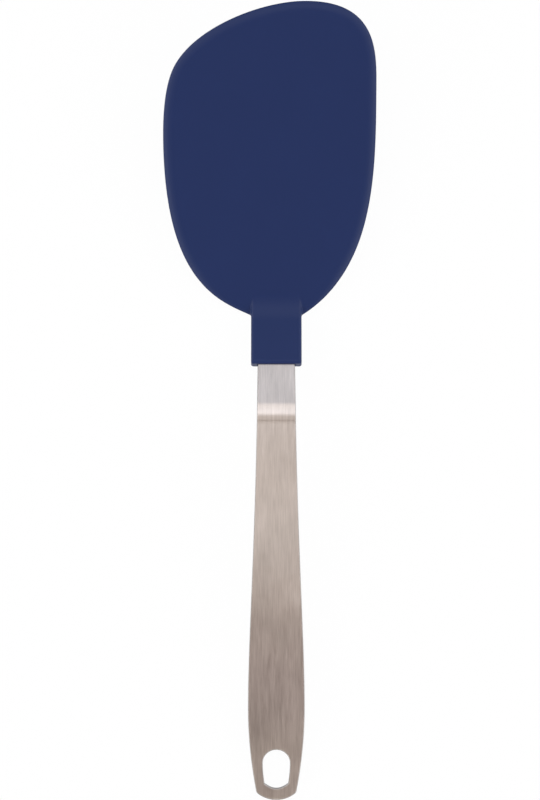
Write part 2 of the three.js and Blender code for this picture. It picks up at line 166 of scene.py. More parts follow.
# %% The brushing group
CLOUD_SCALE = (0.08, 0.035, 0.08)
brushing, takes, gives = group(
    "ShaderNodeTree", "Brushing",
    {"Place": (VECTOR, None), "Lines per mm": (FLOAT, 2.0), "Line length": (FLOAT, 30.0),
     "Seed": (FLOAT, 0.0)},
    {"Lines": FLOAT, "Clouds": FLOAT},
)
across = takes["Lines per mm"]
along = calc(brushing, "DIVIDE", 1.0, takes["Line length"])
squeeze = add(brushing, "ShaderNodeCombineXYZ", {"X": across, "Y": along, "Z": across})
stretched = add(
    brushing, "ShaderNodeVectorMath", {0: takes["Place"], 1: squeeze.outputs[0]},
    operation="MULTIPLY",
)
lines = add(
    brushing, "ShaderNodeTexNoise",
    {"Vector": stretched.outputs[0], "Scale": 1.0, "Detail": 4.0, "Roughness": 0.62},
)
cloud_place = add(
    brushing, "ShaderNodeVectorMath", {0: takes["Place"], 1: CLOUD_SCALE}, operation="MULTIPLY"
)
clouds = add(
    brushing, "ShaderNodeTexNoise",
    {"Vector": cloud_place.outputs[0], "W": takes["Seed"], "Scale": 1.0, "Detail": 3.0,
     "Roughness": 0.55},
    noise_dimensions="4D",
)
brushing.links.new(lines.outputs["Fac"], gives["Lines"])
brushing.links.new(clouds.outputs["Fac"], gives["Clouds"])
print("group:", brushing.name)


# %% [markdown]
# ## The handle's finish
#
# The brushed lines run along the strip, so light spreads across it and stays sharp along it: that
# is why the bend shows as a crisp bright band from edge to edge. Anisotropy with its tangent across
# the strip does the same. The pattern reads the flat strip as it was before bending, kept on the
# mesh, so the lines follow the bends as they do on the real one. Two more things keep it from
# looking ruled: the strip isn't quite flat, which a slow bump gives, and its rounded edges are
# painted darker, which is painted shade for the dark that they mirror.

# %% The steel's colour
def start_material(name):
    material = bpy.data.materials.new(name)
    material.use_nodes = True
    tree = material.node_tree
    return material, tree, tree.nodes["Principled BSDF"].inputs


LINES_PER_MM, LINE_LENGTH, CLOUD_SEED = 2.4, 9.0, 47.0
LINE_SHARE, CLOUD_SHARE = 0.55, 0.65
STEEL_DARK, STEEL_LIGHT = (0.589, 0.525, 0.487, 1), (0.825, 0.740, 0.693, 1)
brushed_steel, tree, surface = start_material("brushed stainless steel")
flat_place = add(tree, "ShaderNodeAttribute", attribute_name="blank")
grain = add(tree, "ShaderNodeGroup", node_tree=brushing)
tree.links.new(flat_place.outputs["Vector"], grain.inputs["Place"])
grain.inputs["Lines per mm"].default_value = LINES_PER_MM
grain.inputs["Line length"].default_value = LINE_LENGTH
grain.inputs["Seed"].default_value = CLOUD_SEED
tone = calc(
    tree, "ADD",
    calc(tree, "MULTIPLY", grain.outputs["Lines"], LINE_SHARE),
    calc(tree, "MULTIPLY", grain.outputs["Clouds"], CLOUD_SHARE),
)
shade = add(tree, "ShaderNodeMapRange", {"Value": tone, "From Min": 0.4, "From Max": 0.8})
steel_colour = add(
    tree, "ShaderNodeMix",
    {0: shade.outputs[0], 6: STEEL_DARK, 7: STEEL_LIGHT}, data_type="RGBA",
)
print("steel from", STEEL_DARK[:3], "to", STEEL_LIGHT[:3])

# %% The steel's edges, with painted shade
EDGE_ROUND = 0.45
# Painted shade: the colour darkens over the rounding of the edges, for the dark that they mirror.
EDGE_SHADE_COLOUR = (0.26, 0.25, 0.245, 1)
height = calc(tree, "ABSOLUTE", add(
    tree, "ShaderNodeSeparateXYZ", {0: flat_place.outputs["Vector"]}).outputs["Z"])
climb = add(
    tree, "ShaderNodeMapRange",
    {"Value": height, "From Min": 1 - EDGE_ROUND, "From Max": 1.0},
).outputs[0]
edge_shade = calc(tree, "SQRT", calc(tree, "SUBTRACT", 1.0, calc(tree, "MULTIPLY", climb, climb)))
shaded_edge_colour = add(
    tree, "ShaderNodeMix",
    {0: edge_shade, 6: steel_colour.outputs[2], 7: EDGE_SHADE_COLOUR}, data_type="RGBA",
)
tree.links.new(shaded_edge_colour.outputs[2], surface["Base Color"])
print("edges rounded by", EDGE_ROUND, "mm")

# %% The steel's gloss and relief
WAVE_SCALE, WAVE_HEIGHT = (0.07, 0.045, 0.0), 0.0002
SCRATCH_DEPTH = 0.00002
steel_gloss = add(
    tree, "ShaderNodeMapRange",
    {"Value": grain.outputs["Lines"], "From Min": 0.3, "From Max": 0.7,
     "To Min": 0.28, "To Max": 0.34},
)
tree.links.new(steel_gloss.outputs[0], surface["Roughness"])
wave_place = add(
    tree, "ShaderNodeVectorMath", {0: flat_place.outputs["Vector"], 1: WAVE_SCALE},
    operation="MULTIPLY",
)
waves = add(
    tree, "ShaderNodeTexNoise",
    {"Vector": wave_place.outputs[0], "Scale": 1.0, "Detail": 2.0, "Roughness": 0.4},
)
unevenness = add(
    tree, "ShaderNodeBump",
    {"Height": waves.outputs["Fac"], "Strength": 1.0, "Distance": WAVE_HEIGHT},
)
relief = add(
    tree, "ShaderNodeBump",
    {"Height": grain.outputs["Lines"], "Strength": 0.12, "Distance": SCRATCH_DEPTH,
     "Normal": unevenness.outputs[0]},
)
tree.links.new(relief.outputs[0], surface["Normal"])
surface["Metallic"].default_value = 1.0
surface["Anisotropic"].default_value = 0.95
across_strip = add(tree, "ShaderNodeTangent", direction_type="UV_MAP", uv_map="grain")
tree.links.new(across_strip.outputs[0], surface["Tangent"])
print("material:", brushed_steel.name)


# %% [markdown]
# ## The strip, cut flat
#
# The real handle is stamped from flat 2 mm strip and then bent, so it is made in the same order.
# The blank is a flat curve with the slot as a second spline: Blender fills between them, gives the
# strip its thickness and rounds its edges. A box with a Boolean slot would also do, but its edges
# would need a bevel that follows both outlines.

# %% Curves for outlines
def bezier(controls, steps):
    """Points along the Bezier curve of any number of control points."""
    t = np.linspace(0, 1, steps + 1)[:, None]
    row = [np.array(point, float)[None, :] for point in controls]
    while len(row) > 1:
        row = [a + (b - a) * t for a, b in zip(row, row[1:])]
    return row[0]


def chain(*curves):
    """Curves end to end, each without its last point, which the next one starts with."""
    return np.concatenate([curve[:-1] for curve in curves])


def arc(centre, radius, start, stop, steps):
    angle = np.linspace(start, stop, steps + 1)
    return np.array(centre) + radius * np.stack([np.cos(angle), np.sin(angle)], 1)


print("a half circle in", len(arc((0, 0), 1, 0, math.pi, 20)), "points")

# %% The outline of the blank
STRIP_THICKNESS = 2.0
STRIP_MIDDLE = -1.3
TANG_FRONT, MOUTH, CRANK_START, GRIP_START, STRIP_END = 6.0, 25.12, 41.6, 49.2, 208.55
NECK_HALF, CRANK_HALF, GRIP_HALF, END_HALF = 7.77, 8.08, 11.8, 8.5
GRIP_BELLY, END_CORNER, END_ARC, END_ROUND = 39.0, 4.2, 12.4, 0.7
SLOT_HALF, SLOT_FOOT, SLOT_FOOT_AT, SLOT_LOW, SLOT_ROUND_AT = 5.7, 4.95, 7.1, 2.9, 15.8


def right_edge():
    """Half width and distance from the end, from the tang to the middle of the end.

    The bare shares place the control points, which make each curve fuller or flatter.
    """
    grip = STRIP_END - GRIP_START
    swell, taper = grip - GRIP_BELLY, GRIP_BELLY - END_CORNER
    turn = math.asin((END_HALF - END_ROUND) / END_ARC)
    arc_from = END_ARC * (1 - math.cos(turn))
    corner = (END_HALF - 0.2 * END_ROUND, arc_from + 0.8 * END_ROUND * math.tan(turn))
    front = STRIP_END - TANG_FRONT
    return chain(
        bezier([(NECK_HALF - 1, front), (NECK_HALF, front), (NECK_HALF, front - 1)], 6),
        bezier([(NECK_HALF, front - 1), (NECK_HALF, STRIP_END - MOUTH)], 1),
        bezier([(NECK_HALF, STRIP_END - MOUTH), (CRANK_HALF, grip)], 1),
        bezier([
            (CRANK_HALF, grip),
            (CRANK_HALF + 0.305 * (GRIP_HALF - CRANK_HALF), grip - 0.5 * swell),
            (GRIP_HALF, GRIP_BELLY + 0.235 * swell), (GRIP_HALF, GRIP_BELLY),
        ], 60),
        bezier([
            (GRIP_HALF, GRIP_BELLY), (GRIP_HALF, GRIP_BELLY - 0.345 * taper),
            (END_HALF + 0.617 * (GRIP_HALF - END_HALF), END_CORNER + 0.316 * taper),
            (END_HALF, END_CORNER),
        ], 36),
        bezier([(END_HALF, END_CORNER), corner, (END_HALF - END_ROUND, arc_from)], 8),
        arc((0, END_ARC), END_ARC, turn - math.pi / 2, -math.pi / 2, 28),
    )


edge = right_edge()
blank_outline = np.concatenate([edge, [(0, 0)], (edge * (-1, 1))[::-1]])
middle_at = (SLOT_FOOT_AT + SLOT_ROUND_AT) / 2
slot_outline = chain(
    bezier([(-SLOT_FOOT, SLOT_FOOT_AT), (0, SLOT_LOW), (SLOT_FOOT, SLOT_FOOT_AT)], 20),
    bezier([(SLOT_FOOT, SLOT_FOOT_AT), (SLOT_HALF, middle_at), (SLOT_HALF, SLOT_ROUND_AT)], 12),
    arc((0, SLOT_ROUND_AT), SLOT_HALF, 0, math.pi, 40),
    bezier([(-SLOT_HALF, SLOT_ROUND_AT), (-SLOT_HALF, middle_at), (-SLOT_FOOT, SLOT_FOOT_AT)], 12),
)
print("blank:", len(blank_outline), "points round it,", len(slot_outline), "round the slot")


# %% The blank as a solid
def to_mesh(thing):
    """The plain mesh of an object with its modifiers applied."""
    depsgraph = bpy.context.evaluated_depsgraph_get()
    return bpy.data.meshes.new_from_object(
        thing.evaluated_get(depsgraph), preserve_all_data_layers=True, depsgraph=depsgraph
    )


blank_curve = bpy.data.curves.new("blank", "CURVE")
blank_curve.dimensions, blank_curve.fill_mode = "2D", "BOTH"
blank_curve.bevel_depth = EDGE_ROUND
blank_curve.bevel_resolution = 4
blank_curve.offset = -EDGE_ROUND
blank_curve.extrude = STRIP_THICKNESS / 2 - EDGE_ROUND
for outline in (blank_outline, slot_outline):
    spline = blank_curve.splines.new("POLY")
    spline.points.add(len(outline) - 1)
    for point, (x, from_end) in zip(spline.points, outline):
        point.co = (x, from_end - STRIP_END, 0, 1)
    spline.use_cyclic_u = True
blank_object = bpy.data.objects.new("blank", blank_curve)
scene.collection.objects.link(blank_object)
blank_mesh = to_mesh(blank_object)
bpy.data.objects.remove(blank_object)
print("blank:", len(blank_mesh.polygons), "faces")

# %% Bands across the blank, narrow in the crank, so that it can bend
NECK_STEP, CRANK_STEP, GRIP_STEP = 4, 0.3, 3
PAST_CRANK, SLOT_ROOM = 1.6, 26
cuts = np.concatenate([
    np.arange(MOUTH, CRANK_START, NECK_STEP),
    np.arange(CRANK_START, GRIP_START + PAST_CRANK, CRANK_STEP),
    np.arange(GRIP_START + GRIP_STEP, STRIP_END - SLOT_ROOM, GRIP_STEP),
])
blank = bmesh.new()
blank.from_mesh(blank_mesh)
bmesh.ops.remove_doubles(blank, verts=blank.verts, dist=1e-4)
for cut in cuts:
    bmesh.ops.bisect_plane(
        blank, geom=blank.verts[:] + blank.edges[:] + blank.faces[:],
        plane_co=(0, -cut, 0), plane_no=(0, 1, 0), dist=1e-4,
    )
bmesh.ops.recalc_face_normals(blank, faces=blank.faces)
blank.to_mesh(blank_mesh)
sizes = np.array([v.co for v in blank.verts])
blank.free()
print("blank measures", np.round(np.ptp(sizes, axis=0), 2), "mm")

# %% [markdown]
# ## Bending the strip
#
# A bend turns a flat length of strip into part of a circle and carries everything beyond it along.
# Points could be moved by hand, but anew for each bend. A bend is a rule, so it is one Geometry
# Nodes group, Roll Bend, with the start, length and angle of the bend as inputs. The handle uses it
# three times, from the far end to the near one: the long arch of the grip, the small back-set that
# a press leaves behind a sharp bend, and the crank.

# %% The roll-bend group
roll_bend, takes, gives = group(
    "GeometryNodeTree", "Roll Bend",
    {"Geometry": (GEOMETRY, None), "Start": (FLOAT, 0.0), "Length": (FLOAT, 10.0),
     "Angle": (FLOAT, 0.1)},
    {"Geometry": GEOMETRY},
)
position = add(roll_bend, "GeometryNodeInputPosition").outputs[0]
here = add(roll_bend, "ShaderNodeSeparateXYZ", {0: position})
start, length, angle = takes["Start"], takes["Length"], takes["Angle"]
past = calc(roll_bend, "SUBTRACT", calc(roll_bend, "MULTIPLY", here.outputs["Y"], -1.0), start)
bent = calc(roll_bend, "MINIMUM", calc(roll_bend, "MAXIMUM", past, 0.0), length)
straight = calc(roll_bend, "SUBTRACT", past, bent)
radius = calc(roll_bend, "DIVIDE", length, angle)
turn = calc(roll_bend, "DIVIDE", bent, radius)
sine, cosine = calc(roll_bend, "SINE", turn), calc(roll_bend, "COSINE", turn)
run = calc(roll_bend, "MULTIPLY_ADD", radius, sine, calc(roll_bend, "MULTIPLY", straight, cosine))
sink = calc(roll_bend, "SUBTRACT", 1.0, cosine)
drop = calc(roll_bend, "MULTIPLY_ADD", radius, sink, calc(roll_bend, "MULTIPLY", straight, sine))
height = here.outputs["Z"]
back = calc(roll_bend, "MULTIPLY_ADD", height, sine, calc(roll_bend, "ADD", start, run))
bent_place = add(roll_bend, "ShaderNodeCombineXYZ", {
    "X": here.outputs["X"],
    "Y": calc(roll_bend, "MULTIPLY", back, -1.0),
    "Z": calc(roll_bend, "SUBTRACT", calc(roll_bend, "MULTIPLY", height, cosine), drop),
})
moved = add(
    roll_bend, "GeometryNodeSetPosition",
    {"Geometry": takes["Geometry"], "Position": bent_place.outputs[0]},
)
roll_bend.links.new(moved.outputs[0], gives["Geometry"])
print("group:", roll_bend.name)

# %% The handle's tree: arch, back-set, crank
CRANK_LENGTH, CRANK_ANGLE = 7.5, math.radians(25)
BACKSET_LENGTH, BACKSET_ANGLE = 1.4, math.radians(-6)
END_FLAT, ARCH_ANGLE = 28.0, math.radians(7.70)
backset_start = CRANK_START + CRANK_LENGTH
arch_start = backset_start + BACKSET_LENGTH
bends = {
    "Arch": (arch_start, STRIP_END - END_FLAT - arch_start, ARCH_ANGLE),
    "Back-set": (backset_start, BACKSET_LENGTH, BACKSET_ANGLE),
    "Crank": (CRANK_START, CRANK_LENGTH, CRANK_ANGLE),
}
handle_inputs = {"Geometry": (GEOMETRY, None)}
for bend in bends:
    handle_inputs.update({f"{bend} {size}": (FLOAT, 1.0) for size in ("Start", "Length", "Angle")})
handle_tree, takes, gives = group(
    "GeometryNodeTree", "Bent Strip", handle_inputs, {"Geometry": GEOMETRY}
)
kept = add(
    handle_tree, "GeometryNodeStoreNamedAttribute",
    {"Geometry": takes["Geometry"], "Name": "blank",
     "Value": add(handle_tree, "GeometryNodeInputPosition").outputs[0]},
    data_type="FLOAT_VECTOR", domain="POINT",
)
strip = kept.outputs[0]
for bend in bends:
    step = add(handle_tree, "GeometryNodeGroup", node_tree=roll_bend)
    handle_tree.links.new(strip, step.inputs["Geometry"])
    for size in ("Start", "Length", "Angle"):
        handle_tree.links.new(takes[f"{bend} {size}"], step.inputs[size])
    strip = step.outputs[0]
whole = add(handle_tree, "GeometryNodeRealizeInstances", {"Geometry": strip})
dressed = add(
    handle_tree, "GeometryNodeSetMaterial",
    {"Geometry": whole.outputs[0], "Material": brushed_steel},
)
handle_tree.links.new(dressed.outputs[0], gives["Geometry"])
print("handle tree:", len(handle_tree.nodes), "nodes")

# %% Bend the blank
handle_strip = bpy.data.objects.new("handle_strip", blank_mesh)
scene.collection.objects.link(handle_strip)
bending = handle_strip.modifiers.new("bend", "NODES")
bending.node_group = handle_tree
sockets = {
    item.name: item.identifier
    for item in handle_tree.interface.items_tree if item.in_out == "INPUT"
}
for bend, sizes in bends.items():
    for size, value in zip(("Start", "Length", "Angle"), sizes):
        bending[sockets[f"{bend} {size}"]] = value
for polygon in blank_mesh.polygons:
    polygon.use_smooth = True
evened = handle_strip.modifiers.new("even normals", "WEIGHTED_NORMAL")
evened.keep_sharp = True
bent_mesh = to_mesh(handle_strip)
handle_strip.modifiers.clear()
handle_strip.data = bent_mesh
bent_mesh.transform(neck_place @ Matrix.Translation((0, 0, STRIP_MIDDLE)))
lowest = min(v.co.z for v in bent_mesh.vertices)
print("handle:", len(bent_mesh.polygons), "faces, lowest", round(lowest, 5))

# %% A map of the grain, and the handle's place in the frame
flat = np.zeros(len(bent_mesh.vertices) * 3, np.float32)
bent_mesh.attributes["blank"].data.foreach_get("vector", flat)
flat = flat.reshape(-1, 3)[[loop.vertex_index for loop in bent_mesh.loops]]
grain_map = bent_mesh.uv_layers.new(name="grain")
on_map = flat[:, :2] / STRIP_END + (0.5, 1.0)
grain_map.data.foreach_set("uv", on_map.astype(np.float32).ravel())
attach(handle_strip, "handle")
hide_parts("handle")
print("handle rides on the handle body")

# %% [markdown]
# ## Navy silicone
#
# The moulding is satin silicone: a deep, even navy, with a soft sheen and the very fine texture of
# a blasted mould. A plain colour would look like paint. Slow clouds of tone, a fine grain in the
# roughness and a slight bump keep it alive close up.

# %% The silicone
NAVY_DARK, NAVY_LIGHT = (0.0131, 0.0268, 0.1020, 1), (0.0142, 0.0290, 0.1104, 1)
TONE_SCALE, BLAST_SCALE, BLAST_DEPTH = 45.0, 2600.0, 0.00003
silicone, tree, surface = start_material("navy silicone")
place = add(tree, "ShaderNodeTexCoord").outputs["Object"]
tone = add(
    tree, "ShaderNodeTexNoise",
    {"Vector": place, "Scale": TONE_SCALE, "Detail": 3.0, "Roughness": 0.55},
)
silicone_colour = add(
    tree, "ShaderNodeMix",
    {0: tone.outputs["Fac"], 6: NAVY_DARK, 7: NAVY_LIGHT}, data_type="RGBA",
)
tree.links.new(silicone_colour.outputs[2], surface["Base Color"])
texture = add(
    tree, "ShaderNodeTexNoise",
    {"Vector": place, "Scale": BLAST_SCALE, "Detail": 2.0, "Roughness": 0.6},
)
satin = add(
    tree, "ShaderNodeMapRange",
    {"Value": texture.outputs["Fac"], "From Min": 0.25, "From Max": 0.75,
     "To Min": 0.32, "To Max": 0.40},
)
tree.links.new(satin.outputs[0], surface["Roughness"])
relief = add(
    tree, "ShaderNodeBump",
    {"Height": texture.outputs["Fac"], "Strength": 0.15, "Distance": BLAST_DEPTH},
)
tree.links.new(relief.outputs[0], surface["Normal"])
surface["Specular IOR Level"].default_value = 0.23
print("material:", silicone.name)

# %% [markdown]
# ## The moulding's outline
#
# Blade and socket are one moulding. Seen from above its edge is five smooth curves: out from the
# root to the right belly, round the tip, down the long slant to the shoulder, round it to the left
# belly and back to the root. The tip is off the middle, so the outline is handed. Drawn point by
# point the edge would come out bumpy. Five Bezier curves set by a few measures stay smooth.

# %% The outline of the blade
BLADE_LENGTH, ROOT_BEHIND, ROOT_HALF = 132.34, 3.7, 10.55
RIGHT_HALF, LEFT_HALF, TIP_OFFSET = 41.36, 46.98, 12.0
RIGHT_AT, SHOULDER_AT, LEFT_AT, SHOULDER_OUT = 0.735, 0.819, 0.574, 0.857
RIGHT_ROOT_ANGLE, LEFT_ROOT_ANGLE, SLANT_ANGLE = 32.2, 25.4, 55


def lean(angle, reach):
    """A step of the given reach, at an angle in degrees from straight across."""
    return reach * np.array([math.cos(math.radians(angle)), math.sin(math.radians(angle))])


def blade_outline():
    """The edge from root to root. Each bare share says how far a curve keeps its direction."""
    root = np.array([ROOT_HALF, -ROOT_BEHIND])
    right = np.array([RIGHT_HALF, RIGHT_AT * BLADE_LENGTH - ROOT_BEHIND])
    tip = np.array([TIP_OFFSET, BLADE_LENGTH - ROOT_BEHIND])
    shoulder = np.array([-SHOULDER_OUT * LEFT_HALF, SHOULDER_AT * BLADE_LENGTH - ROOT_BEHIND])
    left = np.array([-LEFT_HALF, LEFT_AT * BLADE_LENGTH - ROOT_BEHIND])
    left_root = root * (-1, 1)
    slant = 0.302 * np.linalg.norm(tip - shoulder)
    side = np.linalg.norm(shoulder - left)
    return np.concatenate([
        chain(
            bezier([root, root + lean(RIGHT_ROOT_ANGLE, 1.21 * (RIGHT_HALF - ROOT_HALF)),
                    right - (0, 0.36 * (right - root)[1]), right], 70),
            bezier([right, right + (0, 0.415 * (tip - right)[1]),
                    tip + ((right - tip)[0], 0), tip], 50),
            bezier([tip, tip - (slant, 0), shoulder + lean(SLANT_ANGLE, slant), shoulder], 50),
            bezier([shoulder, shoulder - lean(SLANT_ANGLE, 0.1 * side),
                    left + (0, 0.7 * side), left], 40),
            bezier([left, left - (0, 0.835 * (left - left_root)[1]),
                    left_root + lean(180 - LEFT_ROOT_ANGLE, 0.385 * (LEFT_HALF - ROOT_HALF)),
                    left_root], 80),
        ),
        [left_root],
    ])


rim_line = blade_outline()
print("blade outline", np.round(np.ptp(rim_line, axis=0), 1), "mm")


# %% How deep inside the outline a point lies
DEPTH_STEP, DEPTH_FROM, DEPTH_SIZE = 0.4, np.array([-52.0, -28.0]), (250, 410)


def depth_map():
    """Distance from the rim for a grid of points, above 0 inside the outline."""
    x, y = np.meshgrid(
        DEPTH_FROM[0] + DEPTH_STEP * np.arange(DEPTH_SIZE[0]),
        DEPTH_FROM[1] + DEPTH_STEP * np.arange(DEPTH_SIZE[1]), indexing="ij",
    )
    nearest = np.full(x.shape, 1e9)
    within = np.zeros(x.shape, bool)
    for index, a in enumerate(rim_line):
        b = rim_line[(index + 1) % len(rim_line)]
        crosses = (a[1] > y) != (b[1] > y)
        if b[1] != a[1]:
            within ^= crosses & (x < a[0] + (y - a[1]) * (b[0] - a[0]) / (b[1] - a[1]))
        if index < len(rim_line) - 1:
            step = b - a
            t = np.clip(((x - a[0]) * step[0] + (y - a[1]) * step[1]) / (step @ step), 0, 1)
            away = (x - a[0] - t * step[0]) ** 2 + (y - a[1] - t * step[1]) ** 2
            nearest = np.minimum(nearest, away)
    return np.where(within, 1, -1) * np.sqrt(nearest)


depths = depth_map()


def depth_at(x, y):
    """The depth map between its points."""
    u = np.clip((x - DEPTH_FROM[0]) / DEPTH_STEP, 0, DEPTH_SIZE[0] - 1.001)
    v = np.clip((y - DEPTH_FROM[1]) / DEPTH_STEP, 0, DEPTH_SIZE[1] - 1.001)
    i, j = u.astype(int), v.astype(int)
    u, v = u - i, v - j
    low = depths[i, j] * (1 - u) + depths[i + 1, j] * u
    high = depths[i, j + 1] * (1 - u) + depths[i + 1, j + 1] * u
    return low * (1 - v) + high * v


print("deepest point is", round(float(depths.max()), 1), "mm from the rim")

# %% [markdown]
# ## Blade and socket as one soft form
#
# The thin blade runs into the thick socket without a seam: both are one casting, with a small
# fillet where they meet and rounded edges all round. Joining two meshes and bevelling the seam
# would leave a ragged line. A distance field is kinder: each form is a function that is below zero
# inside, two forms are joined or cut with a rounding radius, and the skin is drawn where the
# function is zero.
#
# Towards the rim the blade thins to half a millimetre, mostly from above, so that it slides under
# food. At the root it thins less. The socket's roof comes down to the blade in one slow curve and
# has a rounded lip at the mouth, and its heel is rounded where it meets the worktop.

# %% Soft cuts and joins
def cut_round(a, b, radius):
    """Inside both forms, with the edge where they meet rounded."""
    corner = np.hypot(np.maximum(a + radius, 0), np.maximum(b + radius, 0))
    return np.minimum(np.maximum(a, b), -radius) + corner


def join_round(a, b, radius):
    """Inside either form, with the notch where they meet filled."""
    corner = np.hypot(np.maximum(radius - a, 0), np.maximum(radius - b, 0))
    return np.maximum(np.minimum(a, b), radius) - corner


print("a 1 mm rounding takes", round(float(cut_round(0.0, 0.0, 1.0)), 2), "mm off a square edge")

# %% The field of the moulding
RIM_WIDTH, RIM_DROP, RIM_RISE, RIM_ROUND, RIM_FADE = 4.0, 1.2, 0.5, 0.24, 20.0
RIM_INSET, RIM_LEAST = 0.19, 0.3
SOCKET_BOTTOM, SOCKET_EDGE, SOCKET_LIP, LIP_TOP = -4.0, 1.2, 0.8, 1.2
ROOT_FILLET, HEEL_ROUND, HEEL_FADE, HEEL_REACH = 0.5, 1.5, 2.0, 8.0
SLOPE_FOOT, SLOPE_ROUND = 0.6, 20.0


def socket_roof(y):
    """Height of the socket's face over the blade, and the cosine of its slope there."""
    reach = SLOPE_ROUND * math.tan(NECK_ANGLE / 2)
    run = np.maximum(SLOPE_FOOT + reach - y, 0)
    on_arc = np.minimum(run, SLOPE_ROUND * math.sin(NECK_ANGLE))
    fall = np.sqrt(SLOPE_ROUND ** 2 - on_arc ** 2)
    return SLOPE_ROUND - fall + (run - on_arc) * math.tan(NECK_ANGLE), fall / SLOPE_ROUND


def moulding_field(x, y, z):
    depth = depth_at(x, y) - RIM_INSET
    fade = np.clip(RIM_LEAST + y / RIM_FADE, RIM_LEAST, 1)
    thinned = fade * (1 - np.clip(depth / (RIM_WIDTH * fade), 0, 1)) ** 2
    top, bottom = blade_middle - RIM_DROP * thinned, blade_middle - RIM_RISE * thinned
    up = z - blade_middle
    neck_y = y * math.cos(NECK_ANGLE) - up * math.sin(NECK_ANGLE)
    neck_z = y * math.sin(NECK_ANGLE) + up * math.cos(NECK_ANGLE)
    sides, mouth = np.abs(x) - ROOT_HALF, -neck_y - MOUTH
    rise, flatness = socket_roof(y)
    roof = (up - blade_middle - rise) * flatness
    socket_top = cut_round(cut_round(sides, roof, SOCKET_EDGE), mouth, SOCKET_LIP)
    socket_top = np.maximum(socket_top, cut_round(roof, mouth, LIP_TOP))
    socket_top = np.maximum(socket_top, y - SLOPE_FOOT - SLOPE_ROUND / 2)
    socket_low = cut_round(cut_round(sides, SOCKET_BOTTOM - neck_z, SOCKET_EDGE), mouth, SOCKET_LIP)
    socket_low = np.maximum(socket_low, y - HEEL_REACH)
    fillet = np.minimum(ROOT_FILLET, 0.5 * rise)
    above = join_round(cut_round(-depth, up - top, RIM_ROUND), socket_top, fillet)
    below = join_round(cut_round(-depth, -up - bottom, RIM_ROUND), socket_low, ROOT_FILLET)
    heel = HEEL_ROUND * np.clip((-ROOT_BEHIND - y) / HEEL_FADE, 0, 1)
    return np.maximum(above, cut_round(below, -z, heel))


in_the_middle = moulding_field(*np.array([[0.0], [60.0], [blade_middle]]))
print("field in the middle of the blade:", np.round(in_the_middle, 2))


# %% The skin of the field
def places_along(*stretches):
    """Places along an axis: each stretch is (from, to, step), end to end."""
    return np.concatenate([np.arange(*stretch) for stretch in stretches])


# Cells round the whole moulding in millimetres, small in the socket and wider in the blade.
FIELD_AXES = [
    places_along((-48.4, -13.0, 0.7), (-13.0, 13.0, 0.4), (13.0, 43.2, 0.7)),
    places_along((-25.1, 9.0, 0.4), (9.0, 131.0, 0.7)),
    places_along((-0.83, 3.0, 0.3), (3.07, 18.2, 0.4)),
]


def skin(field):
    """Points and four-sided faces on the zero surface of a field."""
    values = field(*np.meshgrid(*FIELD_AXES, indexing="ij"))
    inside = values < 0
    counts = sum(
        inside[
            i:inside.shape[0] - 1 + i, j:inside.shape[1] - 1 + j, k:inside.shape[2] - 1 + k
        ].astype(int)
        for i in (0, 1) for j in (0, 1) for k in (0, 1)
    )
    cells = np.argwhere((counts > 0) & (counts < 8))
    number = np.full(counts.shape, -1)
    number[tuple(cells.T)] = np.arange(len(cells))
    total, hits = np.zeros((len(cells), 3)), np.zeros(len(cells))
    faces = []
    for axis in range(3):
        one, other = (axis + 1) % 3, (axis + 2) % 3
        step = np.eye(3, dtype=int)[axis]
        for i in (0, 1):
            for j in (0, 1):
                low = np.zeros(3, int)
                low[one], low[other] = i, j
                a = values[tuple((cells + low).T)]
                b = values[tuple((cells + low + step).T)]
                crossed = (a < 0) != (b < 0)
                share = np.where(crossed, a / np.where(crossed, a - b, 1), 0)
                total += crossed[:, None] * (low + share[:, None] * step)
                hits += crossed
        first = np.moveaxis(inside, axis, 0)
        crossed = np.moveaxis(first[:-1] != first[1:], 0, axis)
        edges = np.argwhere(crossed)
        sides = np.eye(3, dtype=int)[[one, other]]
        shifts = (0, sides[0], sides[0] + sides[1], sides[1])
        ring = np.stack([number[tuple((edges - shift).T)] for shift in shifts], 1)
        flip = inside[tuple(edges.T)]
        faces.append(np.where(flip[:, None], ring, ring[:, ::-1]))
    at = cells + total / hits[:, None]
    at = np.stack(
        [np.interp(a, np.arange(len(axis)), axis) for a, axis in zip(at.T, FIELD_AXES)], 1
    )
    return at, np.concatenate(faces)


points, quads = skin(moulding_field)
print("skin:", len(points), "points,", len(quads), "faces")


# %% Settle the skin on the form
FLATTEST, LONGEST_MOVE = 0.05, 0.3
SMOOTHING_ROUNDS, LAST_ROUNDS, SMOOTHING = 6, 3, 0.4


def slope(field, at, reach=0.02):
    """How fast the field changes along each axis."""
    sides = np.eye(3) * reach
    return np.stack(
        [(field(*(at + s).T) - field(*(at - s).T)) / (2 * reach) for s in sides], 1
    )


def settle(at):
    """Moves each point straight onto the zero surface."""
    steep = slope(moulding_field, at)
    move = moulding_field(*at.T) / np.maximum((steep ** 2).sum(1), FLATTEST)
    return at - np.clip(move, -LONGEST_MOVE, LONGEST_MOVE)[:, None] * steep, steep


links = np.concatenate([quads[:, pair] for pair in ([0, 1], [1, 2], [2, 3], [3, 0])])
neighbours = np.bincount(links[:, 0], minlength=len(points))[:, None]
for _ in range(SMOOTHING_ROUNDS):
    points, steep = settle(points)
    centre = np.stack(
        [np.bincount(links[:, 0], points[links[:, 1], k], len(points)) for k in range(3)], 1
    )
    drift = centre / neighbours - points
    steep /= np.linalg.norm(steep, axis=1, keepdims=True) + 1e-9
    points = points + SMOOTHING * (drift - (drift * steep).sum(1, keepdims=True) * steep)
for _ in range(LAST_ROUNDS):
    points, steep = settle(points)
print("moulding measures", np.round(np.ptp(points, axis=0), 2), "mm")

# %% [markdown]
# ## The pocket for the tang
#
# The strip goes 19.1 mm into the socket. The field would need very small cells to keep the pocket's
# inner edges crisp, so the pocket is cut with a Boolean: the tang's own box, a little larger, so
# that steel and silicone don't share a surface and the mouth shows a clean edge.

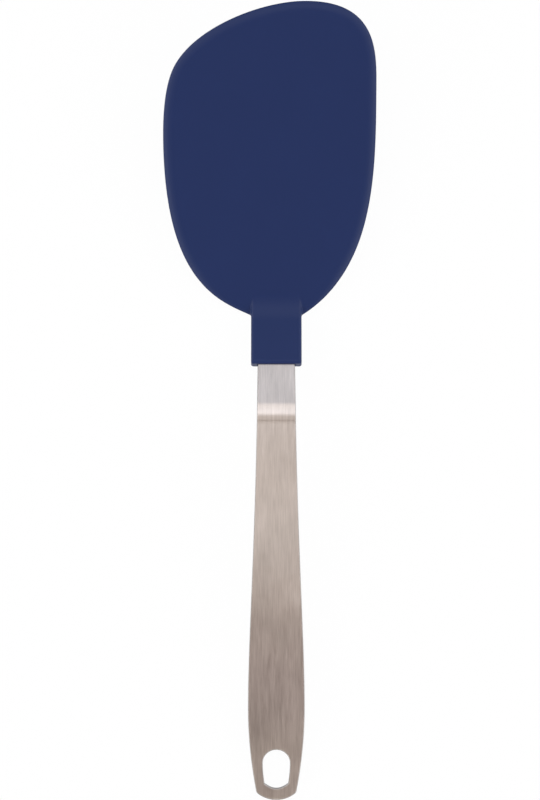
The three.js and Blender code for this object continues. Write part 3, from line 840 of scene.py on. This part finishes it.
# %% Cut the pocket and place the moulding
POCKET_GAP, POCKET_PAST = 0.15, 5.0
SHARP_ANGLE = math.radians(50)


def solid(name, corners, faces):
    mesh = bpy.data.meshes.new(name)
    mesh.from_pydata(corners, [], faces)
    mesh.update()
    made = bpy.data.objects.new(name, mesh)
    scene.collection.objects.link(made)
    return made


moulding = solid("moulding", points.tolist(), quads.tolist())
wide = NECK_HALF + POCKET_GAP
low, high = (STRIP_MIDDLE + side * (STRIP_THICKNESS / 2 + POCKET_GAP) for side in (-1, 1))
back, front = -MOUTH - POCKET_PAST, -TANG_FRONT + POCKET_GAP
box = [(x, y, z) for x in (-wide, wide) for y in (back, front) for z in (low, high)]
pocket = solid("pocket", box, [
    (0, 1, 3, 2), (4, 6, 7, 5), (0, 4, 5, 1), (2, 3, 7, 6), (0, 2, 6, 4), (1, 5, 7, 3),
])
pocket.data.transform(blade_place.inverted() @ neck_place)
cutting = moulding.modifiers.new("pocket", "BOOLEAN")
cutting.operation, cutting.solver, cutting.object = "DIFFERENCE", "EXACT", pocket
cut_mesh = to_mesh(moulding)
moulding.modifiers.clear()
moulding.data = cut_mesh
bpy.data.objects.remove(pocket)
cut_mesh.transform(blade_place)
for polygon in cut_mesh.polygons:
    polygon.use_smooth = True
cut_mesh.set_sharp_from_angle(angle=SHARP_ANGLE)
cut_mesh.materials.clear()
cut_mesh.materials.append(silicone)
print("moulding:", len(cut_mesh.polygons), "faces")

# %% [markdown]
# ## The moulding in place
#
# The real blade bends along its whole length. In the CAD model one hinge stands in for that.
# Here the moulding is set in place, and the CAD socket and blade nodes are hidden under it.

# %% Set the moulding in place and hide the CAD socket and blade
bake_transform(moulding)
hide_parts("socket", "blade")

# %% [markdown]
# ## The spring leaf and its rivets
#
# Inside the silicone lies a leaf of spring steel that makes the blade springy. It can't be seen,
# and on the real turner it bends with the silicone. Here it is a copy of its CAD node, cut across
# in narrow bands. The two rivets stay as they are in the CAD model and get the same
# rolled finish.

# %% Spring steel
SPRING_LINES_PER_MM, SPRING_LINE_LENGTH = 3.0, 12.0
SPRING_DARK, SPRING_LIGHT = (0.29, 0.29, 0.3, 1), (0.4, 0.4, 0.41, 1)
spring_steel, tree, surface = start_material("spring steel")
place = add(
    tree, "ShaderNodeVectorMath",
    {0: add(tree, "ShaderNodeTexCoord").outputs["Object"], "Scale": 1 / MM}, operation="SCALE",
).outputs[0]
rolled = add(tree, "ShaderNodeGroup", node_tree=brushing)
tree.links.new(place, rolled.inputs["Place"])
rolled.inputs["Lines per mm"].default_value = SPRING_LINES_PER_MM
rolled.inputs["Line length"].default_value = SPRING_LINE_LENGTH
spring_colour = add(
    tree, "ShaderNodeMix",
    {0: rolled.outputs["Clouds"], 6: SPRING_DARK, 7: SPRING_LIGHT}, data_type="RGBA",
)
tree.links.new(spring_colour.outputs[2], surface["Base Color"])
spring_gloss = add(
    tree, "ShaderNodeMapRange",
    {"Value": rolled.outputs["Lines"], "From Min": 0.3, "From Max": 0.7,
     "To Min": 0.3, "To Max": 0.42},
)
tree.links.new(spring_gloss.outputs[0], surface["Roughness"])
surface["Metallic"].default_value = 1.0
print("material:", spring_steel.name)

# %% The leaf, cut across in bands
BAND, BANDS_END = 2.5, 60.0
leaf = bmesh.new()
leaf.from_mesh(frame["nodes"]["blade_core"].data)
bmesh.ops.remove_doubles(leaf, verts=leaf.verts, dist=1e-6)
along_blade = blade_place.to_3x3() @ Vector((0, 1 / MM, 0))
for band in np.arange(0, BANDS_END, BAND):
    bmesh.ops.bisect_plane(
        leaf, geom=leaf.verts[:] + leaf.edges[:] + leaf.faces[:],
        plane_co=blade_place @ Vector((0, float(band), 0)), plane_no=along_blade, dist=1e-7,
    )
leaf_mesh = bpy.data.meshes.new("spring_leaf")
leaf.to_mesh(leaf_mesh)
leaf.free()
leaf_mesh.materials.append(spring_steel)
spring_leaf = bpy.data.objects.new("spring_leaf", leaf_mesh)
scene.collection.objects.link(spring_leaf)
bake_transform(spring_leaf)
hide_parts("blade_core")
for name in ("rivet_front", "rivet_rear"):
    rivet = frame["nodes"][name].data
    rivet.materials.clear()
    rivet.materials.append(spring_steel)
print("leaf:", len(leaf_mesh.polygons), "faces")

# %% [markdown]
# ## The studio
#
# A turner like this is photographed on white, under soft boxes. Three things tell where the light
# has to be: the bright band in the bend, the grip that darkens towards its end, and the pale edges
# on both sides of the blade. Single lamps would show in the steel as patches with hard edges, so a
# dome of light whose colour changes from front to back does the first two. A long soft box on each
# side, with a glow low in the dome round it, does the third.

# %% The dome's bands of light
FACING = 60.0
DOME_LEVEL = 1.6
DOME_BANDS = [
    (-60, (0.83, 0.84, 0.84)), (-42, (0.62, 0.62, 0.60)), (-28, (0.33, 0.28, 0.22)),
    (-19, (0.11, 0.06, 0.06)), (-13, (0.38, 0.32, 0.27)), (-9, (0.76, 0.75, 0.74)),
    (-5, (0.53, 0.47, 0.42)), (0, (0.62, 0.59, 0.57)), (6, (1.28, 1.30, 1.34)),
    (12, (1.15, 1.17, 1.22)), (20, (1.07, 1.09, 1.12)), (28, (1.04, 1.04, 1.05)),
    (37, (0.58, 0.63, 0.71)), (60, (0.06, 0.06, 0.08)),
]
dome = bpy.data.worlds.new("studio")
scene.world = dome
dome.use_nodes = True
tree = dome.node_tree
tree.nodes.clear()
direction = add(tree, "ShaderNodeTexCoord").outputs["Generated"]
toward = add(tree, "ShaderNodeSeparateXYZ", {0: direction})
facing = calc(tree, "ARCTAN2", toward.outputs["Y"], toward.outputs["Z"])
share = add(
    tree, "ShaderNodeMapRange",
    {"Value": facing, "From Min": math.radians(-FACING), "From Max": math.radians(FACING)},
)
bands = add(tree, "ShaderNodeValToRGB", {0: share.outputs[0]})
ramp = bands.color_ramp
ramp.interpolation = "EASE"
while len(ramp.elements) < len(DOME_BANDS):
    ramp.elements.new(0.5)
for element, (degrees, colour) in zip(ramp.elements, DOME_BANDS):
    element.position = (degrees + FACING) / (2 * FACING)
    element.color = (*(c / DOME_LEVEL for c in colour), 1)
print("dome:", len(DOME_BANDS), "bands")

# %% The low sky, and a glow at the sides
LOW_SKY, LOW_SKY_LIGHT = (0.05, 0.5), 0.15
SIDE_GLOW = 0.2
SIDE_WINDOW, GLOW_RANGE = (0.25, 0.5), (0.15, 0.65)
low_sky = add(
    tree, "ShaderNodeMapRange",
    {"Value": toward.outputs["Z"], "From Min": LOW_SKY[0], "From Max": LOW_SKY[1],
     "To Min": LOW_SKY_LIGHT, "To Max": 1.0},
)
overhead = add(
    tree, "ShaderNodeVectorMath", {0: bands.outputs[0], "Scale": low_sky.outputs[0]},
    operation="SCALE",
)
slanted = calc(tree, "SQRT", calc(tree, "SUBTRACT", 1.0, calc(
    tree, "MULTIPLY", toward.outputs["Z"], toward.outputs["Z"])))
sideways = calc(tree, "DIVIDE", calc(tree, "ABSOLUTE", toward.outputs["X"]), slanted)
at_sides = add(
    tree, "ShaderNodeMapRange",
    {"Value": sideways, "From Min": SIDE_WINDOW[0], "From Max": SIDE_WINDOW[1]},
    interpolation_type="SMOOTHSTEP",
)
side_glow = add(tree, "ShaderNodeMapRange", {
    "Value": slanted, "From Min": GLOW_RANGE[0], "From Max": GLOW_RANGE[1],
    "To Min": 0.0, "To Max": SIDE_GLOW / DOME_LEVEL,
}, interpolation_type="SMOOTHSTEP")
both = add(tree, "ShaderNodeVectorMath", {
    0: overhead.outputs[0], 1: calc(tree, "MULTIPLY", at_sides.outputs[0], side_glow.outputs[0]),
}, operation="ADD")
glow = add(tree, "ShaderNodeBackground", {"Color": both.outputs[0], "Strength": DOME_LEVEL})
white = add(tree, "ShaderNodeBackground", {"Color": (1, 1, 1, 1), "Strength": 1.0})
seen = add(tree, "ShaderNodeLightPath").outputs["Is Camera Ray"]
mixed = add(tree, "ShaderNodeMixShader", {0: seen, 1: glow.outputs[0], 2: white.outputs[0]})
add(tree, "ShaderNodeOutputWorld", {0: mixed.outputs[0]})
print("side glow", SIDE_GLOW)

# %% Soft boxes at the sides
SIDE_BOX = (0.5, 2.8)
SIDE_RADIANCE = 1.27
SIDE_AT, SIDE_TURN = (0.75, 0.25, 0.36), math.radians(64)
for side, name in ((-1, "left_box"), (1, "right_box")):
    light = bpy.data.lights.new(name, "AREA")
    light.shape = "RECTANGLE"
    light.size, light.size_y = SIDE_BOX
    light.energy = SIDE_RADIANCE * math.pi * SIDE_BOX[0] * SIDE_BOX[1]
    lamp = bpy.data.objects.new(name, light)
    lamp.location = (side * SIDE_AT[0], *SIDE_AT[1:])
    lamp.rotation_euler = (0, side * SIDE_TURN, 0)
    lamp.visible_camera = False
    scene.collection.objects.link(lamp)
print("side boxes at", SIDE_RADIANCE)

# %% [markdown]
# ## The worktop
#
# The turner lies on a white worktop that throws light back up. The camera sees it almost as plain
# white with a trace of shadow, and polished surfaces mirror it as white. It is clear from below and
# nearly clear to the camera, because the blade, flexed down, dips below it and should still show.

# %% The white worktop
FLOOR_HALF, FLOOR_DROP = 1.6, 0.0002
WHITE_SHARE, WORKTOP_WHITE = 0.97, (0.97, 0.97, 0.97, 1)
worktop_finish, tree, surface = start_material("white worktop")
tree.nodes.clear()
path = add(tree, "ShaderNodeLightPath").outputs
reflected = calc(tree, "MAXIMUM", path["Is Glossy Ray"], path["Is Transmission Ray"])
matt = add(tree, "ShaderNodeBsdfDiffuse", {"Color": WORKTOP_WHITE})
shine = add(tree, "ShaderNodeEmission", {"Color": (1, 1, 1, 1), "Strength": 1.0})
clear = add(tree, "ShaderNodeBsdfTransparent")
mirrored = add(tree, "ShaderNodeMixShader", {
    0: calc(tree, "MULTIPLY", reflected, WHITE_SHARE), 1: matt.outputs[0], 2: shine.outputs[0],
})
below = add(tree, "ShaderNodeNewGeometry").outputs["Backfacing"]
from_camera = calc(tree, "MULTIPLY", path["Is Camera Ray"], WHITE_SHARE)
through = calc(tree, "MAXIMUM", below, from_camera)
mixed = add(tree, "ShaderNodeMixShader", {0: through, 1: mirrored.outputs[0], 2: clear.outputs[0]})
add(tree, "ShaderNodeOutputMaterial", {0: mixed.outputs[0]})
worktop = solid(
    "worktop",
    [(x * FLOOR_HALF, y * FLOOR_HALF, -FLOOR_DROP)
     for x, y in ((-1, -1), (1, -1), (1, 1), (-1, 1))],
    [(0, 1, 2, 3)],
)
worktop.data.materials.append(worktop_finish)
print("worktop", 2 * FLOOR_HALF, "m wide")
